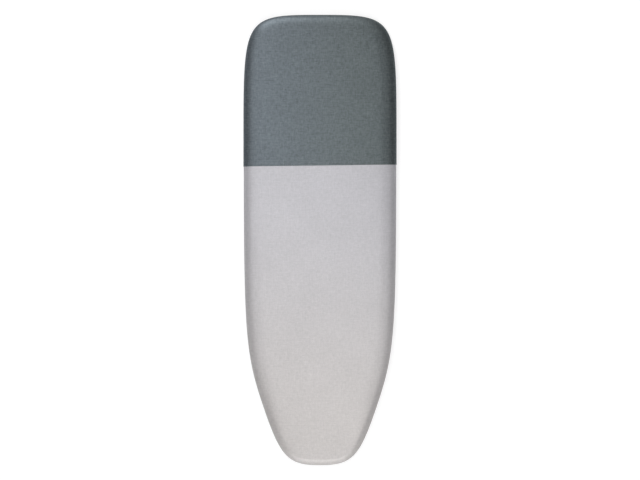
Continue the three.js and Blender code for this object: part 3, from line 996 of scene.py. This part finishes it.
def trim_parking(work):
    cut(work, 0, -1)
    for shift in PARKING_CUTS:
        cut(work, shift)
    bmesh.ops.dissolve_degenerate(work, dist=MERGE_DISTANCE, edges=work.edges[:])
    work.normal_update()
    for v in work.verts:
        raised = 1 - smoothstep(FOLD_WIDTH - 1, FOLD_WIDTH + 4, from_seam(v.co))
        v.co += v.normal * float(raised) * FOLD_RAISE * METRES
    for shift in SEAM_ROWS:
        row = sorted((v for v in work.verts if abs(from_seam(v.co) - shift) < 0.2), key=across_board)
        seam_rows[shift] = [(MILLIMETRES * np.array(v.co), np.array(v.normal)) for v in row]
    edges = [e for e in work.edges if e.is_boundary and all(abs(from_seam(v.co)) < 0.3 for v in e.verts)]
    runs = [(e.link_loops[0].link_loop_next.vert, e.link_loops[0].vert) for e in edges]
    work.normal_update()
    normals = {v: v.normal.copy() for e in edges for v in e.verts}
    ahead = -Vector(TAILWARD)
    base = {v: v.co.copy() for v in normals}
    row = {v: v for v in normals}
    uv = work.loops.layers.uv["flat"]
    flats = {v: v.link_loops[0][uv].uv.copy() for v in normals}
    for n, m in FOLD_PROFILE:
        fresh = {}
        for v in base:
            out = normals[v]
            flat_ahead = (ahead - out * ahead.dot(out)).normalized()
            fresh[v] = work.verts.new(base[v] + METRES * (n * flat_ahead + m * out))
        for a, b in runs:
            face = work.faces.new([row[a], row[b], fresh[b], fresh[a]])
            face.smooth = True
            for corner, v in zip(face.loops, (a, b, b, a)):
                corner[uv].uv = flats[v]
        row = fresh


edit(parking, trim_parking)
thicken(parking)
dress(parking, DARK, ["parking_panel"])

# Pad layers

step = -BOARD_EDGE_RADIUS - FELT_MARGIN + LAYER_GAP
pad_edge_z = ROLL_Z + PAD_LIFT
angles = np.linspace(math.pi / 2, 0, 9)
round_edge = (BOARD_EDGE_RADIUS + FIT_GAP) * np.stack([np.cos(angles), np.sin(angles)], 1)
round_edge += [-BOARD_EDGE_RADIUS, SIDE_Z]
pad_step = np.array([[0, PAD_LOWER], [0.4, PAD_LOWER - 0.5], [1.2, FIT_GAP]]) + [step, BOARD_TOP]
pad_lip = np.array([[0, 0.6], [0.5, 0]]) + [FIT_GAP, pad_edge_z]
pad_rim = np.array([[0, 0.9], [-0.35, 0.2], [-0.9, 0]])
pad_inside = np.concatenate([pad_step, round_edge, pad_lip])


def pad(name, surface, shift, drop):
    """Pad with that upper surface, on one side of a cut along the seam."""

    def trim(work):
        cut(work, shift, drop)
        edges = [e for e in work.edges if e.is_boundary]
        bmesh.ops.triangle_fill(work, use_beauty=True, use_dissolve=False, edges=edges)
        face_outward(work)

    outside = np.concatenate([over_edge(surface, PAD_RINGS), pad_rim + [surface[1], pad_edge_z]])
    piece = shell(name, outside, pad_inside)
    edit(piece, trim)
    return piece


foam = pad("foam_pad_open_cell", PAD_UPPER, SEAM_LAP, 1)
dress(foam, FOAM, ["foam_pad"])
heat = pad("heat_felt_pad", MAIN_UPPER, SEAM_LAP + LAYER_GAP, -1)
dress(heat, GREY_FELT, ["heat_felt"])

felt_edge = -BOARD_EDGE_RADIUS - FELT_MARGIN
felt_low = BOARD_TOP + FIT_GAP
felt_high = felt_low + FELT_THICKNESS
felt_outside = np.array([[-6, 0], [-1.2, 0], [-0.3, -0.3], [0, -0.7]]) + [felt_edge, felt_high]
felt_inside = np.array([[-6, 0], [-1, 0], [-0.25, 0.25]]) + [felt_edge, felt_low]
felt = shell("felt_underlay_sheet", felt_outside, felt_inside, soft=False)
dress(felt, PALE_FELT, ["felt_underlay"])

# Binding round the hem

def mouth_share(half):
    """Share of the outline at which the hem is that far from the long axis, at the tail on the right."""
    u = np.linspace(0.40, 0.5, 4001)
    place, out = board(u)[:2]
    return float(np.interp(-half, -(place[:, 0] - HEM_INSET * out[:, 0]), u))


def hem_run(half, count):
    """Shares of the outline along the hem, from its mouth at the tail round the nose and back."""
    right = mouth_share(half)
    return np.linspace(1 - right, 1 + right, count)


def hem_sweep(profile, u):
    """Ring of a profile in the hem's own directions, drawn with the gathers."""
    ring = rings(profile, u, False)
    ring[:, :, 2] += hem_lift(u % 1.0)[None, :]
    return ring


def binding_profile():
    """Folded tape, from its upper edge round the cord and back, in the hem's own directions."""
    gap = TAPE_GAP
    t = TAPE_THICKNESS
    lip = [
        (TAPE_REACH - 0.1, gap + t),
        (TAPE_REACH, gap + 0.7 * t),
        (TAPE_REACH, gap + 0.3 * t),
        (TAPE_REACH - 0.1, gap),
    ]
    lean = np.linspace(math.radians(58), math.radians(302), 17)
    inner = [(CASING_INNER * math.cos(a), CASING_INNER * math.sin(a)) for a in lean]
    outer = [(CASING_OUTER * math.cos(a), CASING_OUTER * math.sin(a)) for a in lean]
    low_lip = [(x, -y) for x, y in reversed(lip)]
    within = lip + [(5.5, gap)] + inner + [(5.5, -gap)] + low_lip
    without = [(6, -gap - t)] + outer[::-1] + [(6, gap + t)]
    return np.array([hem_point(x, y) for x, y in within + without])


def swept_band(name, profile, u):
    """Band along the hem, and where each of its points lies on the tape laid flat."""
    ring = hem_sweep(profile, u)
    rows, columns = ring.shape[:2]
    faces = grid_faces(rows, columns, closed=False)
    last = (rows - 1) * columns
    faces += [[last + j, j, j + 1, last + j + 1] for j in range(columns - 1)]
    faces.append([k * columns for k in range(rows)])
    faces.append([k * columns + columns - 1 for k in reversed(range(rows))])
    s = (u - u[0]) * LOOP_LENGTH
    flats = np.stack(np.broadcast_arrays(s[None, :], run_along(profile)[:, None]), 2)
    piece = new_object(name, ring.reshape(-1, 3), faces, flat=flats.reshape(-1, 2))

    def tidy(work):
        bmesh.ops.triangulate(work, faces=[f for f in work.faces if len(f.verts) > 4])
        face_outward(work)

    edit(piece, tidy)
    return piece


hem_u = hem_run(CASING_OPENING / 2, HEM_STEPS)
BINDING_NODES = (
    "edge_binding_left",
    "edge_binding_right",
    "edge_binding_nose_left",
    "edge_binding_nose_right",
)
binding = swept_band("binding_tape", binding_profile(), hem_u)
dress(binding, TAPE, BINDING_NODES)

# Stitching

def hem_line(along, up, u):
    return hem_sweep(np.array([hem_point(along, up)]), u)[0]


def hem_stitch(name, side):
    """Row of stitches on the lower or the upper face of the tape."""
    gap = TAPE_GAP + TAPE_THICKNESS
    line = hem_line(HEM_STITCH_REACH, side * gap, hem_u)
    further = hem_line(HEM_STITCH_REACH, side * (gap + 1), hem_u)
    return stitches(name, line, further - line, *HEM_STITCH)


for name, side in (("binding_stitch_low", -1), ("binding_stitch_top", 1)):
    dress(hem_stitch(name, side), DARK_THREAD)

for shift, name in zip(SEAM_ROWS, ("seam_stitch_edge", "seam_stitch_inner")):
    line, up = (np.array(part) for part in zip(*seam_rows[shift]))
    dress(stitches(name, line, up, *SEAM_STITCH), DARK_THREAD)


def bar_tack(side):
    """Close zigzag across the end of the tape, which keeps the mouth of the casing from tearing."""
    u = mouth_share(CASING_OPENING / 2 + TACK_INSET)
    u = np.array([u if side > 0 else 1 - u])
    low = TAPE_GAP + TAPE_THICKNESS
    places = [hem_line(along, -low, u)[0] for along in np.arange(*TACK_REACH, TACK_STEP)]
    swing = np.array([TACK_SWING if k % 2 else -TACK_SWING for k in range(len(places))])
    path = np.array(places) + swing[:, None] * [1, 0, 0] + [0, 0, -TACK_DROP]
    return tube(path, SEAM_STITCH[2], THREAD_SIDES)


tacks = new_object("casing_mouth_tacks", *gather_meshes([bar_tack(1), bar_tack(-1)]))
dress(tacks, DARK_THREAD)

# Cord

cord_u = hem_run(CASING_OPENING / 2 + CASING_COVER, HEM_CORD_STEPS)
hem_cord = new_object("drawcord_in_hem", *tube(hem_line(0, 0, cord_u), CORD_RADIUS, CORD_SIDES))
dress(hem_cord, ELASTIC, ["drawcord"])


def tail_path(side, height):
    """One end of the cord, from inside its casing through the lock to the bottom of the bell's pocket."""
    start = side * (CASING_OPENING / 2 + CASING_COVER - LAYER_GAP)
    turn = side * (CASING_OPENING / 2 - EXIT_RUN)
    end = BELL_Y - BELL_POCKET + LAYER_GAP
    leave = ((turn, HEM_Y, HEM_Z), (4 * side, HEM_Y, HEM_Z))
    arrive = ((0, STRAIGHT_Y + BEND_PULL, height), (0, STRAIGHT_Y, height))
    bend = bezier(leave + arrive, np.linspace(0, 1, 80))[0]
    lead = np.linspace([start, HEM_Y, HEM_Z], [turn, HEM_Y, HEM_Z], 8)
    straight = np.linspace([0, STRAIGHT_Y, height], [0, end, height], 40)
    return np.concatenate([lead[:-1], bend, straight[1:]])


for name, side, height in (("left", -1, CORD_PITCH / 2), ("right", 1, -CORD_PITCH / 2)):
    tail = new_object("braided_tail_" + name, *braid(tail_path(side, LOCK_Z + height), CORD_RADIUS))
    dress(tail, ELASTIC, ["drawcord_tail_" + name])

# Cord lock and end bell

LOCK_PLACE = (0.0, LOCK_Y, LOCK_Z)
GROOVE_PLACES = (-12.2, -10.2, -8.2, -6.2)
GROOVE_DEPTH = 0.35
END_EDGE = 1.2
MOUTH_EDGE = 0.6
groove_floor = BARREL_RADIUS - GROOVE_DEPTH
groove = [(BARREL_RADIUS, 0.0), (groove_floor, 0.35), (groove_floor, 0.75), (BARREL_RADIUS, 1.1)]
grip = [(r, x + start) for start in GROOVE_PLACES for r, x in groove]
barrel_profile = [
    (0, BARREL_END),
    (BARREL_RADIUS - END_EDGE, BARREL_END),
    (BARREL_RADIUS, BARREL_END + END_EDGE),
    *grip,
    (BARREL_RADIUS, BARREL_MOUTH - MOUTH_EDGE),
    (BARREL_RADIUS - MOUTH_EDGE, BARREL_MOUTH),
    (BORE_RADIUS, BARREL_MOUTH),
    (BORE_RADIUS, BARREL_FLOOR),
    (0, BARREL_FLOOR),
]
barrel = turned("lock_body_moulded", rounded(barrel_profile, 0.3), LOCK_PLACE, "X")
pierce(barrel, LOCK_PLACE, (-SLOT_HALF_WIDTH - SLOT_RELIEF, SLOT_HALF_WIDTH), SLOT_RUN, 0.25)
dress(barrel, PLASTIC, ["lock_barrel"], "cord_lock")

plunger_profile = [
    (0, POCKET_FLOOR),
    (POCKET_RADIUS, POCKET_FLOOR),
    (POCKET_RADIUS, PLUNGER_BOTTOM),
    (PLUNGER_RADIUS, PLUNGER_BOTTOM),
    (PLUNGER_RADIUS, BUTTON_FACE - 1.2),
    (PLUNGER_RADIUS - 0.4, BUTTON_FACE - 0.4),
    (PLUNGER_RADIUS - 1.2, BUTTON_FACE),
    (PLUNGER_RADIUS - 1.8, BUTTON_FACE),
    (PLUNGER_RADIUS - 2.2, BUTTON_FACE - 0.3),
    (0, BUTTON_FACE - 0.5),
]
button = turned("lock_button_moulded", rounded(plunger_profile, 0.4), LOCK_PLACE, "X")
pierce(button, LOCK_PLACE, (-SLOT_HALF_WIDTH, SLOT_HALF_WIDTH + STROKE), SLOT_RUN, 0.2)
dress(button, PLASTIC, ["lock_plunger"], "plunger")

turns = np.linspace(0, COIL_TURNS, 40 * COIL_TURNS + 1)
open_share = smoothstep(0.2, 1.0, np.minimum(turns, COIL_TURNS - turns))
closed_pitch = 2.4 * WIRE_RADIUS
coil_end = POCKET_FLOOR - WIRE_RADIUS - COIL_GAP
coil_start = BARREL_FLOOR + WIRE_RADIUS + COIL_GAP
rise = coil_end - coil_start - closed_pitch * COIL_TURNS
climb = run_along(np.cumsum(open_share)[:, None])
coil_x = coil_start + closed_pitch * turns + rise * climb / climb[-1]
coil_angle = 2 * math.pi * turns
coil = np.stack([coil_x, COIL_RADIUS * np.cos(coil_angle), COIL_RADIUS * np.sin(coil_angle)], 1)
spring = new_object("lock_coil_spring", *tube(coil + LOCK_PLACE, WIRE_RADIUS, CORD_SIDES))
dress(spring, STEEL, ["lock_spring"], "cord_lock")
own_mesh(spring)

bell_radius = math.hypot(SLOT_HALF_WIDTH, SLOT_HALF_HEIGHT) + BELL_WALL
bell_profile = [
    (0, -BELL_LENGTH),
    (bell_radius + BELL_FLARE - 1.0, -BELL_LENGTH),
    (bell_radius + BELL_FLARE, -BELL_LENGTH + 1.2),
    (bell_radius + BELL_FLARE, -BELL_LENGTH + 2.6),
    (bell_radius + 0.15, -BELL_LENGTH + 3.4),
    (bell_radius - 0.2, -0.8),
    (bell_radius - 0.8, 0),
    (0, 0),
]
bell_place = (0, BELL_Y, LOCK_Z)
bell = turned("cord_end_bell_moulded", rounded(bell_profile, 0.8, 6), bell_place, "Y")
pierce(bell, bell_place, (-SLOT_HALF_WIDTH, SLOT_HALF_WIDTH), (-BELL_POCKET, 5), 0.3)
dress(bell, PLASTIC, ["cord_end_bell"])

# Stage

FLOOR_HALF = 30.0
FLOOR_Z = -0.0004
MM_PER_PIXEL = 2.6894
IMAGE_WIDTH = 640
SENSOR_WIDTH = 36
DISTANCE = 7.0
WHITE = (1, 1, 1, 1)

corners = ((-1, -1), (1, -1), (1, 1), (-1, 1))
floor_corners = [(FLOOR_HALF * x, FLOOR_HALF * y, FLOOR_Z) for x, y in corners]
floor_mesh = bpy.data.meshes.new("floor")
floor_mesh.from_pydata(floor_corners, [], [(0, 1, 2, 3)])
floor = placed("floor", floor_mesh)


def looked_at(tree):
    """1 where the camera, a reflection or a view through glass looks, and 0 for light on the object."""
    way = put(tree, "ShaderNodeLightPath")
    seen = sums(tree, "MAXIMUM", way.outputs["Is Camera Ray"], way.outputs["Is Glossy Ray"])
    return sums(tree, "MAXIMUM", seen, way.outputs["Is Transmission Ray"])


def paper(tree):
    """White paper, lifted to full white where it is looked at, and more so far away."""
    place = object_coordinates(tree)
    away = put(tree, "ShaderNodeVectorMath", {0: place}, operation="LENGTH").outputs["Value"]
    lift = spread(tree, away, 1.0, 6.0, 0.72, 0.95, True)
    return {
        "Base Color": (0.35, 0.35, 0.35, 1),
        "Roughness": 0.9,
        "Specular IOR Level": 0.0,
        "Emission Color": WHITE,
        "Emission Strength": sums(tree, "MULTIPLY", looked_at(tree), lift),
    }


floor_mesh.materials.append(material("floor", paper))

world = bpy.data.worlds.new("studio")
bpy.context.scene.world = world
world.use_nodes = True
sky = world.node_tree
sky.nodes.clear()
ambient = put(sky, "ShaderNodeBackground", {"Color": WHITE, "Strength": 0.05})
backdrop = put(sky, "ShaderNodeBackground", {"Color": WHITE, "Strength": 1.0})
direction = put(sky, "ShaderNodeTexCoord").outputs["Generated"]
height = put(sky, "ShaderNodeSeparateXYZ", {0: direction}).outputs[2]
low = spread(sky, height, 0.12, 0.2, 1.0, 0.0, True)
shown = sums(sky, "MULTIPLY", looked_at(sky), low)
choose = put(sky, "ShaderNodeMixShader", {0: shown, 1: ambient, 2: backdrop})
put(sky, "ShaderNodeOutputWorld", {"Surface": choose})


def area_light(name, place, target, size, watts, turn=0.0):
    """Soft lamp aimed at a point, turned by degrees about the vertical."""
    data = bpy.data.lights.new(name, "AREA")
    data.shape = "RECTANGLE"
    data.size, data.size_y = size
    data.energy = watts
    lamp = placed(name, data)
    lamp.location = place
    aim = (Vector(target) - Vector(place)).to_track_quat("-Z", "Y")
    lamp.rotation_euler = (Quaternion((0, 0, 1), math.radians(turn)) @ aim).to_euler()
    lamp.visible_camera = False


area_light("strip", (-0.2, -0.1, 3.5), (-0.2, -0.1, 0.0), (0.5, 5.0), 68, 35)
area_light("tail_box", (-1.2, 3.9, 2.8), (0.0, 0.3, 0.0), (1.9, 2.6), 128)
area_light("nose_box", (0.1, -3.7, 2.25), (0.0, -0.5, 0.0), (5.6, 2.1), 132)

camera_data = bpy.data.cameras.new("camera")
camera_data.sensor_width = SENSOR_WIDTH
camera_data.lens = SENSOR_WIDTH * (DISTANCE - SIDE_Z * METRES) / (MM_PER_PIXEL * IMAGE_WIDTH * METRES)
camera_data.clip_end = 100
camera = placed("camera", camera_data)
camera.location = (0.0, 0.0, DISTANCE)
bpy.context.scene.camera = camera
bpy.context.scene.view_settings.view_transform = "Standard"

bpy.context.view_layer.update()
